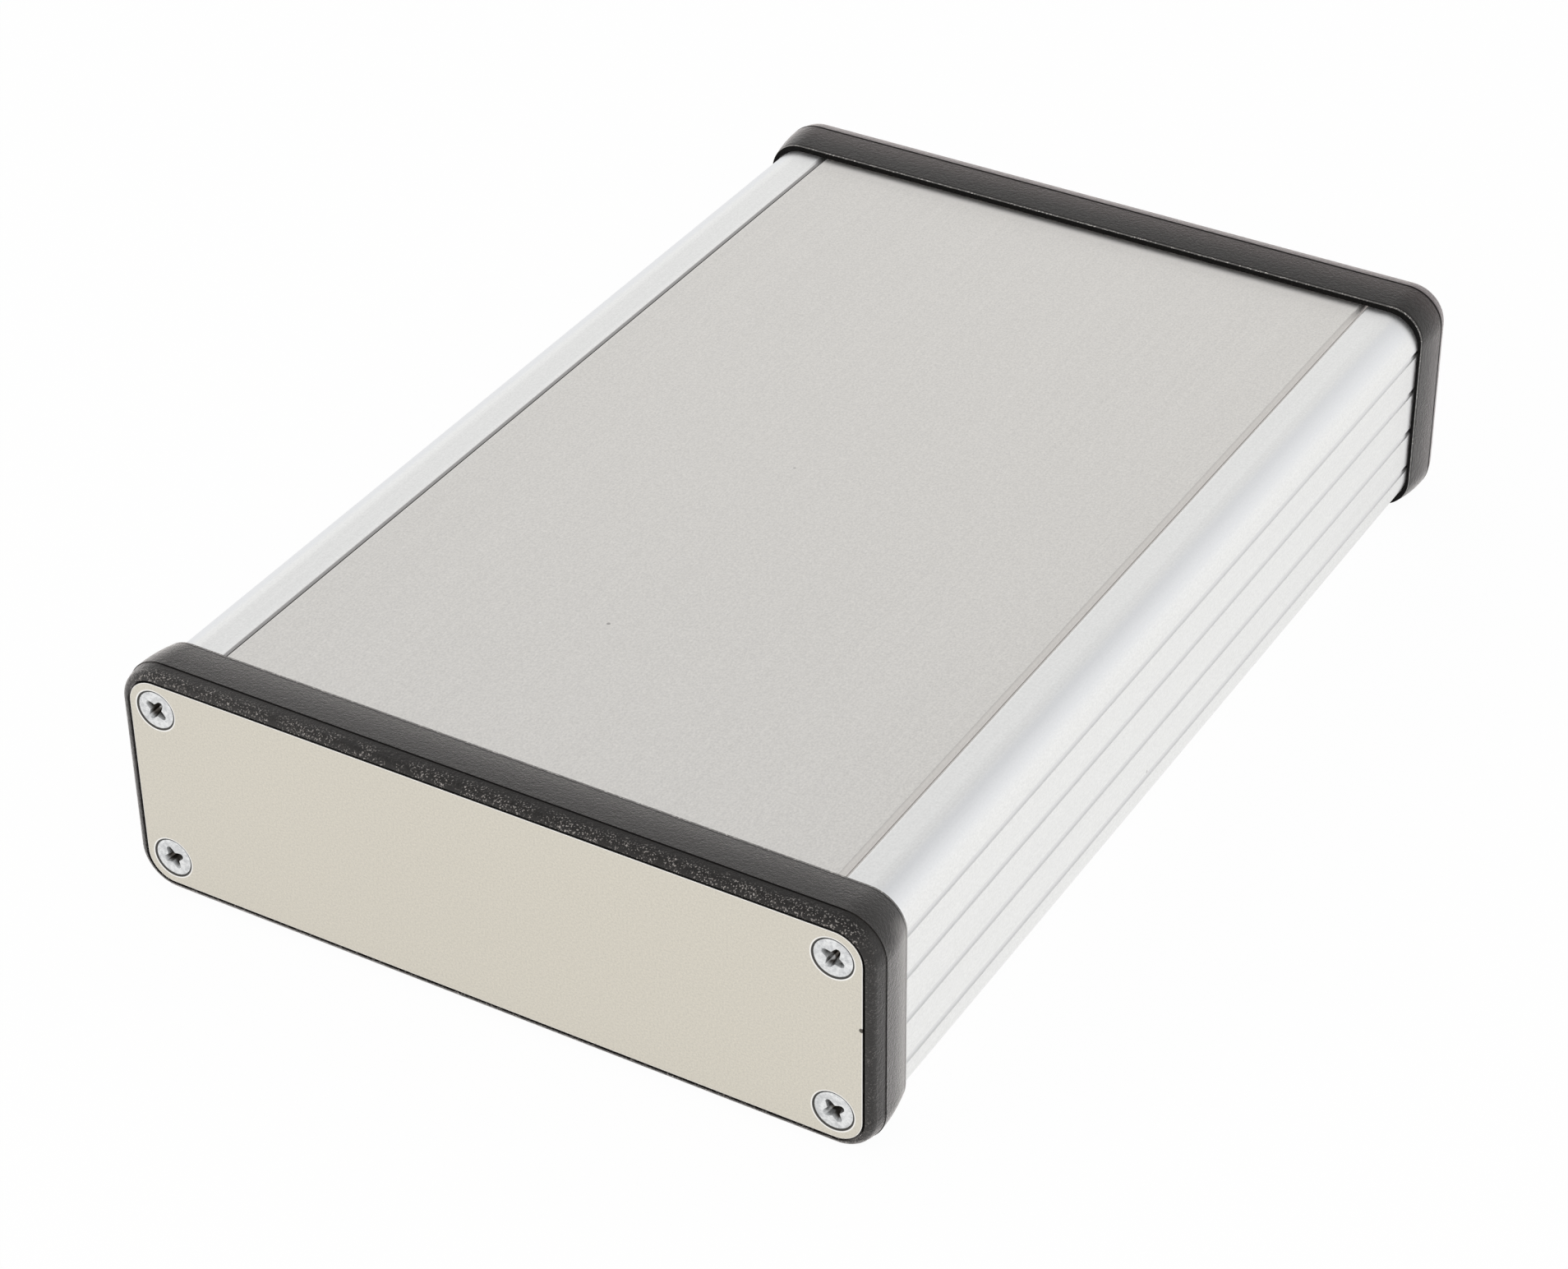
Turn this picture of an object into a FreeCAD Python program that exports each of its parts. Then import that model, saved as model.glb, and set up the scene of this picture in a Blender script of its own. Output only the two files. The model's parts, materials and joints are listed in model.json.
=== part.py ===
import FreeCAD, Part
import math
import os

# A slim instrument case made from an aluminium extrusion. A flat cover plate slides into
# the top of the extrusion. Each end is closed by a moulded plastic bezel and a flat end
# panel, held by four countersunk screws that cut their own thread in the extrusion.
# X runs across the case, Y along the extrusion with the front at -Y, and Z is up.
# The origin is under the middle of the case, in the plane that the bezels stand on.
# All sizes are in millimetres.

# Extrusion, outside
overall_length = 162.4
body_width = 103.0
body_height = 30.4
body_corner_radius = 4.8

# Extrusion, walls
side_wall = 1.5
floor_wall = 1.5

# Grip flutes along the side walls, two pairs about a line a little above mid height
flute_width = 1.0
flute_depth = 0.45
flute_outer_spacing = 18.66
flute_inner_spacing = 6.56
flute_lift = 0.65

# Card slots on the inside of the side walls
card_slot_count = 4
card_slot_width = 1.8
card_rib_thickness = 1.1
card_rib_reach = 2.0

# Cover plate, and the lips and rails that it slides between
lip_width = 8.28
seam_gap = 0.1
seam_chamfer = 0.55
lip_thickness = 1.2
groove_height = 1.1
tongue_reach = 1.5
rail_thickness = 1.2
rail_reach = 0.8
slide_clearance = 0.1

# Screws and the ports along the extrusion that they go into
screw_side_inset = 4.5
screw_top_inset = 3.95
port_wall = 1.25
port_slit_width = 1.2
shank_diameter = 2.9
thread_clearance = 0.05
screw_length = 9.5
head_diameter = 5.16
head_rim = 0.12
sink_diameter = 5.6
seat_clearance = 0.02
screw_hole_diameter = 3.2

# Cross recess in the screw heads
recess_span = 2.9
recess_wing_width = 0.8
recess_depth = 1.3
recess_floor_span = 1.1
recess_floor_width = 0.4
recess_core_width = 1.3

# Turn of each cross recess in degrees, in the order upper left, upper right, lower
# left, lower right, as seen from outside the panel
front_screw_turns = (35.0, 28.0, 64.0, 57.0)
rear_screw_turns = (27.0, 71.0, 4.0, 52.0)

# End panels
panel_thickness = 1.2
panel_clearance = 0.3

# Bezels: a skirt round the end of the extrusion, swelling out like a barrel to a
# crease, then a nose that leans in from the crease and rounds over to the panel
bezel_depth = 8.2
bezel_side_step = 0.45
bezel_top_step = 0.8
bezel_flare = 0.7
crease_depth = 2.4
crease_step = 0.12
crease_corner_radius = 5.5
crease_lean = 2.0
shoulder_lean = 18.0
nose_radius = 1.2
rim_side = 1.5
rim_top = 1.3
skirt_clearance = 0.1
web_thickness = 0.8
web_reach = 3.0
lug_reach = 3.5

# Places that follow from the sizes above
centre_height = body_height / 2 + bezel_top_step + bezel_flare
body_top = centre_height + body_height / 2
body_bottom = centre_height - body_height / 2
crease_width = body_width + 2 * (bezel_side_step + bezel_flare)
crease_height = body_height + 2 * (bezel_top_step + bezel_flare)
pocket_width = crease_width - 2 * rim_side
pocket_height = crease_height - 2 * rim_top
pocket_corner_radius = crease_corner_radius - rim_side
extrusion_length = overall_length - 2 * (panel_thickness + web_thickness)
extrusion_end = extrusion_length / 2
front_face = -overall_length / 2
seam_half = body_width / 2 - lip_width
opening_half = seam_half + seam_gap / 2
plate_half = seam_half - seam_gap / 2
tongue_half = opening_half + tongue_reach
rail_top = body_top - lip_thickness - groove_height
port_bore_radius = shank_diameter / 2 + thread_clearance
port_radius = port_bore_radius + port_wall
screw_x = body_width / 2 - screw_side_inset
screw_z = body_height / 2 - screw_top_inset
screw_places = []
for up in (1, -1):
    for side in (-1, 1):
        screw_places.append((side * screw_x, centre_height + up * screw_z))


def point(x, y, z):
    return FreeCAD.Vector(x, y, z)


def rounded_outline(width, height, radius, y):
    # A rectangle with rounded corners, centred on the case and square to its length
    half_width = width / 2
    half_height = height / 2
    edges = []
    corners = ((1, 1), (-1, 1), (-1, -1), (1, -1))
    arcs = []
    for turn, (side, up) in enumerate(corners):
        centre_x = side * (half_width - radius)
        centre_z = centre_height + up * (half_height - radius)
        places = []
        for step in (0, 45, 90):
            angle = math.radians(90 * turn + step)
            x = centre_x + radius * math.cos(angle)
            z = centre_z + radius * math.sin(angle)
            places.append(point(x, y, z))
        arcs.append(places)
    for turn, places in enumerate(arcs):
        following = arcs[(turn + 1) % 4]
        edges.append(Part.Arc(places[0], places[1], places[2]).toShape())
        edges.append(Part.LineSegment(places[2], following[0]).toShape())
    return Part.Wire(edges)


def slab(width, height, radius, y_from, y_to):
    outline = rounded_outline(width, height, radius, y_from)
    return Part.Face(outline).extrude(point(0, y_to - y_from, 0))


def curved_slab(width, height, radius, side_curve):
    # A slab with rounded corners whose sides follow a curve from one end to the other.
    # The edges of the curve are given for the reach of a side, and closed towards the
    # middle of the case. That section is extruded across the case both ways and turned
    # round at each corner.
    def section(reach):
        curve = side_curve(reach)
        start = curve[0].Vertexes[0].Point
        end = curve[-1].Vertexes[-1].Point
        inner = Part.makePolygon([end, point(0, end.y, 0), point(0, start.y, 0), start])
        return Part.Face(Part.Wire(curve + inner.Edges))

    centre_x = width / 2 - radius
    centre_z = height / 2 - radius
    sides = []
    for turn in range(4):
        # A strip from the middle of the case to one side, then the corner after it
        across = turn % 2 == 0
        reach = width / 2 if across else height / 2
        half_strip = centre_z if across else centre_x
        strip = section(reach)
        strip.translate(point(0, 0, -half_strip))
        strip = strip.extrude(point(0, 0, 2 * half_strip))
        strip.rotate(point(0, 0, 0), point(0, 1, 0), -90 * turn)
        corner = section(radius).revolve(point(0, 0, 0), point(0, 1, 0), -90)
        corner.rotate(point(0, 0, 0), point(0, 1, 0), -90 * turn)
        side = 1 if turn in (0, 3) else -1
        up = 1 if turn in (0, 1) else -1
        corner.translate(point(side * centre_x, 0, up * centre_z))
        sides += [strip, corner]
    slab_shape = sides[0].multiFuse(sides[1:]).removeSplitter()
    slab_shape.translate(point(0, 0, centre_height))
    return slab_shape


def prism(places, y_from, y_to):
    # A straight bar along Y with the given (x, z) corners as its section
    corners = [point(x, y_from, z) for x, z in places]
    section = Part.Face(Part.makePolygon(corners + corners[:1]))
    return section.extrude(point(0, y_to - y_from, 0))


def bar(x_from, x_to, z_from, z_to, y_from, y_to):
    return prism(((x_from, z_from), (x_to, z_from), (x_to, z_to), (x_from, z_to)), y_from, y_to)


def rod(x, z, radius, y_from, y_to):
    return Part.makeCylinder(radius, y_to - y_from, point(x, y_from, z), point(0, 1, 0))


def mirrored_in_x(places):
    return [(-x, z) for x, z in places]


def mirrored_to_rear(shape):
    return shape.mirror(point(0, 0, 0), point(0, 1, 0))


# Case body: one extruded section, cut to length
def make_case_body():
    start = -extrusion_end
    end = extrusion_end
    beyond = 1.0
    outer = slab(body_width, body_height, body_corner_radius, start, end)
    cavity_width = body_width - 2 * side_wall
    inner_corner = body_corner_radius - min(side_wall, floor_wall)
    cavity = slab(cavity_width, body_height - 2 * floor_wall, inner_corner, start - beyond, end + beyond)
    upper_space = bar(-opening_half, opening_half, centre_height, body_top + beyond,
                      start - beyond, end + beyond)
    hollow = cavity.fuse(upper_space)

    # Shoulders that carry the lips, the grooves and the rails
    fittings = []
    rail_half = opening_half - rail_reach
    shoulder_bottom = rail_top - rail_thickness
    for side in (-1, 1):
        inner = side * rail_half
        outer_x = side * (body_width / 2 - side_wall / 2)
        fittings.append(bar(min(inner, outer_x), max(inner, outer_x), shoulder_bottom,
                            body_top, start, end))

        # Ribs that make the card slots
        pitch = card_slot_width + card_rib_thickness
        rib_tip = side * (cavity_width / 2 - card_rib_reach)
        for number in range(card_slot_count + 1):
            rib_middle = centre_height + (number - card_slot_count / 2) * pitch
            fittings.append(bar(min(rib_tip, outer_x), max(rib_tip, outer_x),
                                rib_middle - card_rib_thickness / 2,
                                rib_middle + card_rib_thickness / 2, start, end))

    # Screw ports, each merged into the corner behind it
    for x, z in screw_places:
        fittings.append(rod(x, z, port_radius, start, end))
        corner_x = math.copysign(body_width / 2, x)
        corner_z = body_top if z > centre_height else body_bottom
        fittings.append(bar(min(x, corner_x), max(x, corner_x), min(z, corner_z), max(z, corner_z),
                            start, end))
    section_mass = fittings[0].multiFuse(fittings[1:]).common(outer)
    body = outer.cut(hollow).fuse(section_mass)

    # Space for the cover plate between the lips, the grooves, and the chamfers of the lips
    cutters = []
    cutters.append(bar(-opening_half, opening_half, rail_top, body_top + beyond,
                       start - beyond, end + beyond))
    groove_half = tongue_half + slide_clearance
    cutters.append(bar(-groove_half, groove_half, rail_top, rail_top + groove_height,
                       start - beyond, end + beyond))
    lip_chamfer = ((opening_half - beyond, body_top + beyond),
                   (opening_half - beyond, body_top - seam_chamfer - beyond),
                   (opening_half, body_top - seam_chamfer),
                   (opening_half + seam_chamfer, body_top),
                   (opening_half + seam_chamfer + beyond, body_top + beyond))
    cutters.append(prism(lip_chamfer, start - beyond, end + beyond))
    cutters.append(prism(mirrored_in_x(lip_chamfer), start - beyond, end + beyond))

    # Bores of the screw ports, each slit open towards mid height
    for x, z in screw_places:
        cutters.append(rod(x, z, port_bore_radius, start - beyond, end + beyond))
        towards_middle = math.copysign(port_radius + side_wall / 2, centre_height - z)
        cutters.append(bar(x - port_slit_width / 2, x + port_slit_width / 2,
                           min(z, z + towards_middle), max(z, z + towards_middle),
                           start - beyond, end + beyond))

    # Flutes, each a round groove whose chord is the flute width
    flute_radius = ((flute_width / 2) ** 2 + flute_depth ** 2) / (2 * flute_depth)
    for side in (-1, 1):
        flute_x = side * (body_width / 2 - flute_depth + flute_radius)
        for offset in (flute_outer_spacing / 2, flute_inner_spacing / 2,
                       -flute_inner_spacing / 2, -flute_outer_spacing / 2):
            cutters.append(rod(flute_x, centre_height + flute_lift + offset, flute_radius,
                               start - beyond, end + beyond))
    return body.cut(cutters).removeSplitter()


# Cover plate: a flat strip with a tongue along each long edge, flush with the lips
def make_cover_plate():
    start = -extrusion_end + slide_clearance / 2
    tongue_top = rail_top + groove_height - slide_clearance
    right_edge = ((tongue_half, rail_top),
                  (tongue_half, tongue_top),
                  (plate_half, tongue_top),
                  (plate_half, body_top - seam_chamfer),
                  (plate_half - seam_chamfer, body_top))
    left_edge = mirrored_in_x(right_edge)
    return prism(list(right_edge) + left_edge[::-1], start, -start)


def make_screw_hole_tool(x, z):
    # The cone that the head sits in, and the clearance hole through panel and web
    hole_radius = screw_hole_diameter / 2
    sink_radius = sink_diameter / 2
    beyond = 0.5
    profile = [point(x, front_face - beyond, z),
               point(x + sink_radius + beyond, front_face - beyond, z),
               point(x + hole_radius, front_face + sink_radius - hole_radius, z),
               point(x + hole_radius, front_face + panel_thickness + web_thickness + beyond, z),
               point(x, front_face + panel_thickness + web_thickness + beyond, z)]
    face = Part.Face(Part.makePolygon(profile + profile[:1]))
    return face.revolve(point(x, front_face, z), point(0, 1, 0), 360)


# End panel: a flat plate with rounded corners and four countersunk holes
def make_front_panel():
    width = pocket_width - 2 * panel_clearance
    height = pocket_height - 2 * panel_clearance
    radius = pocket_corner_radius - panel_clearance
    panel = slab(width, height, radius, front_face, front_face + panel_thickness)
    return panel.cut([make_screw_hole_tool(x, z) for x, z in screw_places])


# Bezel: a moulded frame with a skirt over the extrusion, a pocket for the panel, and
# between the two a thin web with a window and four screw lugs
def make_front_bezel():
    skirt_end = front_face + bezel_depth
    crease_y = front_face + crease_depth
    skirt_length = skirt_end - crease_y
    barrel_radius = (skirt_length ** 2 + bezel_flare ** 2) / (2 * bezel_flare)
    middle_drop = barrel_radius - math.sqrt(barrel_radius ** 2 - skirt_length ** 2 / 4)

    def barrel_curve(reach):
        arc = Part.Arc(point(reach, crease_y, 0),
                       point(reach - middle_drop, crease_y + skirt_length / 2, 0),
                       point(reach - bezel_flare, skirt_end, 0))
        return [arc.toShape()]

    # The nose curves gently from its lean at the crease to that at the shoulder, and
    # from there it rounds over until it is square to the case
    lean_from = math.radians(crease_lean)
    lean_to = math.radians(shoulder_lean)
    shoulder_depth = crease_depth - nose_radius * (1 - math.sin(lean_to))
    face_radius = shoulder_depth / (math.sin(lean_to) - math.sin(lean_from))

    def nose_curve(reach):
        def on_arc(centre_x, centre_y, radius, lean):
            return point(centre_x + radius * math.cos(lean), centre_y - radius * math.sin(lean), 0)

        gentle = (reach - crease_step - face_radius * math.cos(lean_from),
                  crease_y + face_radius * math.sin(lean_from), face_radius)
        shoulder = on_arc(*gentle, lean_to)
        tight = (shoulder.x - nose_radius * math.cos(lean_to), front_face + nose_radius, nose_radius)
        arcs = [Part.Arc(on_arc(*gentle, lean_from), on_arc(*gentle, (lean_from + lean_to) / 2),
                         shoulder).toShape(),
                Part.Arc(shoulder, on_arc(*tight, (lean_to + math.pi / 2) / 2),
                         on_arc(*tight, math.pi / 2)).toShape()]
        return arcs

    skirt = curved_slab(crease_width, crease_height, crease_corner_radius, barrel_curve)
    nose = curved_slab(crease_width, crease_height, crease_corner_radius, nose_curve)
    block = skirt.fuse(nose)

    # Pocket for the panel, and space for the end of the extrusion
    beyond = 1.0
    pocket_floor = front_face + panel_thickness
    pocket = slab(pocket_width, pocket_height, pocket_corner_radius,
                  front_face - beyond, pocket_floor)
    web_back = pocket_floor + web_thickness
    space = slab(body_width + 2 * skirt_clearance, body_height + 2 * skirt_clearance,
                 body_corner_radius + skirt_clearance, web_back, skirt_end + beyond)

    # Window in the web, leaving a square lug round each screw
    window_x = body_width / 2 - web_reach
    window_z = body_height / 2 - web_reach
    window = bar(-window_x, window_x, centre_height - window_z, centre_height + window_z,
                 pocket_floor - beyond, web_back + beyond)
    window = window.cut([bar(x - lug_reach, x + lug_reach, z - lug_reach, z + lug_reach,
                             pocket_floor - beyond, web_back + beyond)
                         for x, z in screw_places])
    holes = [make_screw_hole_tool(x, z) for x, z in screw_places]
    return block.cut([pocket, space, window] + holes).removeSplitter()


def rectangle_wire(x, z, width, height, y):
    corners = [point(x - width / 2, y, z - height / 2),
               point(x + width / 2, y, z - height / 2),
               point(x + width / 2, y, z + height / 2),
               point(x - width / 2, y, z + height / 2)]
    return Part.makePolygon(corners + corners[:1])


# Screw: a countersunk head with a cross recess, on a flat-ended self-tapping shank whose
# thread is drawn as its outer cylinder
def make_front_screw(x, z, turn):
    head_radius = head_diameter / 2
    shank_radius = shank_diameter / 2
    head_sunk = (sink_diameter - head_diameter) / 2 - head_rim - seat_clearance
    head_top = front_face + head_sunk
    cone_top = head_top + head_rim
    shank_top = cone_top + head_radius - shank_radius
    tip = head_top + screw_length
    profile = [point(x, head_top, z),
               point(x + head_radius, head_top, z),
               point(x + head_radius, cone_top, z),
               point(x + shank_radius, shank_top, z),
               point(x + shank_radius, tip, z),
               point(x, tip, z)]
    blank = Part.Face(Part.makePolygon(profile + profile[:1]))
    blank = blank.revolve(point(x, head_top, z), point(0, 1, 0), 360)

    # Two tapered wings across each other, and a core that bevels the corners between them
    floor_y = head_top + recess_depth
    wing_top = rectangle_wire(x, z, recess_span, recess_wing_width, head_top)
    wing_floor = rectangle_wire(x, z, recess_floor_span, recess_floor_width, floor_y)
    wing = Part.makeLoft([wing_top, wing_floor], True, True)
    across = wing.copy()
    across.rotate(point(x, head_top, z), point(0, 1, 0), 90)
    core_top = rectangle_wire(x, z, recess_core_width, recess_core_width, head_top)
    core_floor = rectangle_wire(x, z, recess_floor_width, recess_floor_width, floor_y)
    core = Part.makeLoft([core_top, core_floor], True, True)
    core.rotate(point(x, head_top, z), point(0, 1, 0), 45)
    recess = wing.multiFuse([across, core])
    recess.rotate(point(x, head_top, z), point(0, 1, 0), turn)
    return blank.cut(recess)


def make_front_screws():
    screws = []
    for (x, z), turn in zip(screw_places, front_screw_turns):
        screws.append(make_front_screw(x, z, turn))
    return Part.makeCompound(screws)


# Rear screws: placed left for right before they are mirrored, so that their turns
# too go in the order seen from outside the panel
def make_rear_screws():
    screws = []
    for (x, z), turn in zip(screw_places, rear_screw_turns):
        screws.append(mirrored_to_rear(make_front_screw(-x, z, turn)))
    return Part.makeCompound(screws)


pieces = {}
pieces["case_body"] = make_case_body()
pieces["cover_plate"] = make_cover_plate()
pieces["front_bezel"] = make_front_bezel()
pieces["rear_bezel"] = mirrored_to_rear(pieces["front_bezel"])
pieces["front_panel"] = make_front_panel()
pieces["rear_panel"] = mirrored_to_rear(pieces["front_panel"])
pieces["front_screws"] = make_front_screws()
pieces["rear_screws"] = make_rear_screws()

os.makedirs("parts", exist_ok=True)
for name, shape in pieces.items():
    shape.exportStep("parts/" + name + ".step")
    box = shape.BoundBox
    print(name, "solids", len(shape.Solids), "valid", shape.isValid(), "volume", round(shape.Volume, 1),
          "box", round(box.XLength, 2), round(box.YLength, 2), round(box.ZLength, 2))
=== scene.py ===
# %% [markdown]
# # A slim aluminium instrument case
# The case is an aluminium extrusion with a cover plate that slides in from one end. A
# moulded plastic bezel and a flat panel close each end, held by four screws. The packed
# solids are loaded first. They stay where they are, and everything below is finish and
# fine form made round them, in metres.

# %% Load the solids
import json
import math

import bmesh
import bpy
from mathutils import Matrix, Vector


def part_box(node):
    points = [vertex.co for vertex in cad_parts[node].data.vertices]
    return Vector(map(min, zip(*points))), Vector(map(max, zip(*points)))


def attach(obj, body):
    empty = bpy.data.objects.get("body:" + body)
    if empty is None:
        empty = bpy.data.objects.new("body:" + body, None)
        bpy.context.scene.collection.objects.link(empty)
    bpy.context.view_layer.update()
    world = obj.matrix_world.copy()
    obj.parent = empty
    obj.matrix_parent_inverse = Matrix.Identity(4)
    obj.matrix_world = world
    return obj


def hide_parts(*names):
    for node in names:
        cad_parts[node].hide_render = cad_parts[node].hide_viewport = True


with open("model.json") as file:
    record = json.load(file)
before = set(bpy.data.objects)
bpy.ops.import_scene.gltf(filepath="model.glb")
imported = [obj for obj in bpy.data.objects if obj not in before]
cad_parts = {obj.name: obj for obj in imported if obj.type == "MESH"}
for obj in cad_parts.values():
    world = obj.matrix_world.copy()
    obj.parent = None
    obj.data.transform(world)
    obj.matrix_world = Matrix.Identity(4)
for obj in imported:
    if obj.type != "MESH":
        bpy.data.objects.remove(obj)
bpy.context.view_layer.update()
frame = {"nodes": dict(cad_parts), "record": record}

MM = 0.001
nodes = frame["nodes"]
print("solids:", sorted(nodes))

# %% [markdown]
# ## Camera
# The picture was taken from the front right, from above, with a long lens, so the long
# edges of the case run together only slowly. The place, the turn and the lens were worked
# out from the edges of the case in the picture. A small shift moves the frame off the
# lens's axis without turning the camera.

# %% Camera
CAMERA_PLACE = Vector((0.21874, -0.37808, 0.31296))
CAMERA_HEADING = math.radians(29.4954)
CAMERA_DIP = math.radians(34.4183)
CAMERA_ROLL = math.radians(0.0926)


def in_scene(name, data):
    """A new object of the scene that holds the data."""
    made = bpy.data.objects.new(name, data)
    bpy.context.scene.collection.objects.link(made)
    return made


camera = in_scene("camera", bpy.data.cameras.new("camera"))
camera.data.sensor_width = 36.0
camera.data.lens = 91.988
camera.data.shift_x = -0.05035
camera.data.shift_y = -0.03069
camera.data.clip_start = 0.02
camera.data.clip_end = 20.0
camera.matrix_world = (Matrix.Translation(CAMERA_PLACE)
                       @ Matrix.Rotation(CAMERA_HEADING, 4, "Z")
                       @ Matrix.Rotation(math.pi / 2 - CAMERA_DIP, 4, "X")
                       @ Matrix.Rotation(CAMERA_ROLL, 4, "Z"))
bpy.context.scene.camera = camera
bpy.context.scene.view_settings.view_transform = "Standard"
sight = camera.matrix_world.to_3x3() @ Vector((0, 0, -1))
print("camera looks along", [round(c, 3) for c in sight])

# %% [markdown]
# ## A short way to write node trees
# Materials, the world and the tree that places the screws are all trees of nodes.
# `Recipe` adds any node to such a tree with one method. `Wire` holds one output of a
# node, and Python arithmetic on it adds Math nodes, so `1 - mask * 0.2` can be written as
# it is read.

# %% Node helpers
class Wire:
    """One output of a node."""

    def __init__(self, recipe, socket):
        self.recipe = recipe
        self.socket = socket

    def math(self, operation, *values):
        return self.recipe.node("ShaderNodeMath", dict(enumerate(values)), operation=operation)

    def __add__(self, other):
        return self.math("ADD", self, other)

    def __sub__(self, other):
        return self.math("SUBTRACT", self, other)

    def __rsub__(self, other):
        return self.math("SUBTRACT", other, self)

    def __mul__(self, other):
        return self.math("MULTIPLY", self, other)

    def size(self):
        return self.math("ABSOLUTE", self)

    def root(self):
        return self.math("SQRT", self)

    def most(self, other):
        return self.math("MAXIMUM", self, other)

    __radd__ = __add__
    __rmul__ = __mul__


class Recipe:
    """A tree of nodes that is written from empty."""

    def __init__(self, owner):
        self.owner = owner
        # A material and a world hold a tree, and a group of nodes is one itself
        if hasattr(owner, "use_nodes"):
            owner.use_nodes = True
        self.tree = getattr(owner, "node_tree", owner)
        self.tree.nodes.clear()

    def node(self, kind, sockets=None, take=0, **settings):
        """Adds a node, sets its settings, fills its sockets and returns one output."""
        made = self.tree.nodes.new(kind)
        for name, value in settings.items():
            if name == "stops":
                ramp = made.color_ramp.elements
                while len(ramp) < len(value):
                    ramp.new(0.5)
                for element, (place, shade) in zip(ramp, value):
                    element.position = place
                    element.color = (*shade, 1.0)
            elif name == "items":
                while len(made.index_switch_items) < value:
                    made.index_switch_items.new()
            else:
                setattr(made, name, value)
        for name, value in (sockets or {}).items():
            if isinstance(value, Wire):
                self.tree.links.new(value.socket, made.inputs[name])
            else:
                made.inputs[name].default_value = value
        return Wire(self, made.outputs[take]) if len(made.outputs) else made


print("helpers for node trees:", Wire.__name__, Recipe.__name__)

# %% [markdown]
# ## Patterns
# Every pattern reads Object coordinates, which are metres on the object itself, so a
# grain of 0.2 mm stays 0.2 mm. `past`, `within` and `band` mark a stretch along an axis,
# for a painted highlight or shade, and `spot` marks a small place, for a speck, all
# without any picture. Painted light and shade and the specks are then a list of layers,
# each a mask and a shade, laid over the colour in turn.

# %% Pattern helpers
class Finish(Recipe):
    """A material. `past`, `within`, `band` and `spot` take millimetres."""

    def __init__(self, name):
        super().__init__(bpy.data.materials.new(name))
        self.here = self.node("ShaderNodeTexCoord", take="Object")

    def along(self, axis):
        return self.node("ShaderNodeSeparateXYZ", {"Vector": self.here}, axis)

    def out(self, axis):
        """How far a point is from the middle of the case, to either side."""
        return self.along(axis).size()

    def stretched(self, x, y, z):
        return self.node("ShaderNodeMapping", {"Vector": self.here, "Scale": (x, y, z)})

    def noise(self, place, scale, detail=2.0, roughness=0.5):
        """Noise with about `scale` lumps to the metre, and `detail` finer ones in them."""
        return self.node("ShaderNodeTexNoise", {
            "Vector": place, "Scale": scale, "Detail": detail, "Roughness": roughness}, "Fac")

    def step(self, value, low, high, bottom=0.0, top=1.0):
        return self.node("ShaderNodeMapRange", {
            "Value": value, "From Min": low, "From Max": high, "To Min": bottom, "To Max": top},
            interpolation_type="SMOOTHSTEP")

    def past(self, value, low, high):
        """0 up to low and 1 from high on."""
        return self.step(value, low * MM, high * MM)

    def within(self, value, inner, outer):
        """1 up to inner and 0 from outer on."""
        return self.step(value, inner * MM, outer * MM, 1.0, 0.0)

    def band(self, value, middle, inner, outer):
        """1 as far as inner from the middle, and 0 from outer on."""
        return self.within((value - middle * MM).size(), inner, outer)

    def spot(self, place, radius):
        away = self.node("ShaderNodeVectorMath", {0: self.here, 1: tuple(c * MM for c in place)},
                         "Value", operation="DISTANCE")
        return self.within(away, radius * 0.6, radius)

    def blend(self, factor, first, second):
        first, second = [c if isinstance(c, Wire) else (*c, 1.0) for c in (first, second)]
        return self.node("ShaderNodeMix", {0: factor, 6: first, 7: second}, 2, data_type="RGBA")

    def layered(self, colour, layers):
        for mask, shade in layers:
            colour = self.blend(mask, colour, shade)
        return colour

    def specks(self, marks):
        """Layers for marks of (place, radius, shade, strength)."""
        return [(self.spot(place, radius) * strength, shade)
                for place, radius, shade, strength in marks]

    def bump(self, height, strength, distance):
        return self.node("ShaderNodeBump", {
            "Height": height, "Strength": strength, "Distance": distance})

    def principled(self, sockets):
        return self.node("ShaderNodeBsdfPrincipled", sockets)

    def mixed(self, share, first, second):
        return self.node("ShaderNodeMixShader", {0: share, 1: first, 2: second})

    def finished(self, surface):
        self.node("ShaderNodeOutputMaterial", {"Surface": surface})
        return self.owner


print("patterns:", [name for name in vars(Finish) if not name.startswith("_")])

# %% [markdown]
# ## World
# Satin metal shows a blurred picture of what is round it, so the light is mostly the
# world: bright near the horizon and dimmer and slightly cool overhead, as in a white tent
# that is open at the top. A picture of a studio could give that too. A colour ramp over
# the height of each direction needs no file, and each shade can be set by itself.

# %% World
world = bpy.data.worlds.new("studio")
bpy.context.scene.world = world
sky = Recipe(world)
upward = sky.node("ShaderNodeSeparateXYZ", {
    "Vector": sky.node("ShaderNodeTexCoord", take="Generated")}, "Z")
tent_shades = ((0.36, (1.0, 1.0, 1.0)),
               (0.46, (0.98, 0.98, 0.975)),
               (0.565, (0.90, 0.90, 0.90)),
               (0.70, (0.77, 0.77, 0.775)),
               (0.85, (0.55, 0.555, 0.565)),
               (1.0, (0.44, 0.445, 0.455)))
tent = sky.node("ShaderNodeValToRGB", {"Fac": upward}, "Color", stops=tent_shades)
sky.node("ShaderNodeOutputWorld", {
    "Surface": sky.node("ShaderNodeBackground", {"Color": tent, "Strength": 1.0})})
print("world:", world.name, "with", len(tent_shades), "shades from the horizon up")

# %% [markdown]
# ## Lamps
# A soft lamp behind the camera fills, and a low warm one puts the faint brown shine on
# the front edge of the bezel. Neither lamp shows in a reflection: seen from behind, the
# plate would mirror them and turn plain white.

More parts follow.
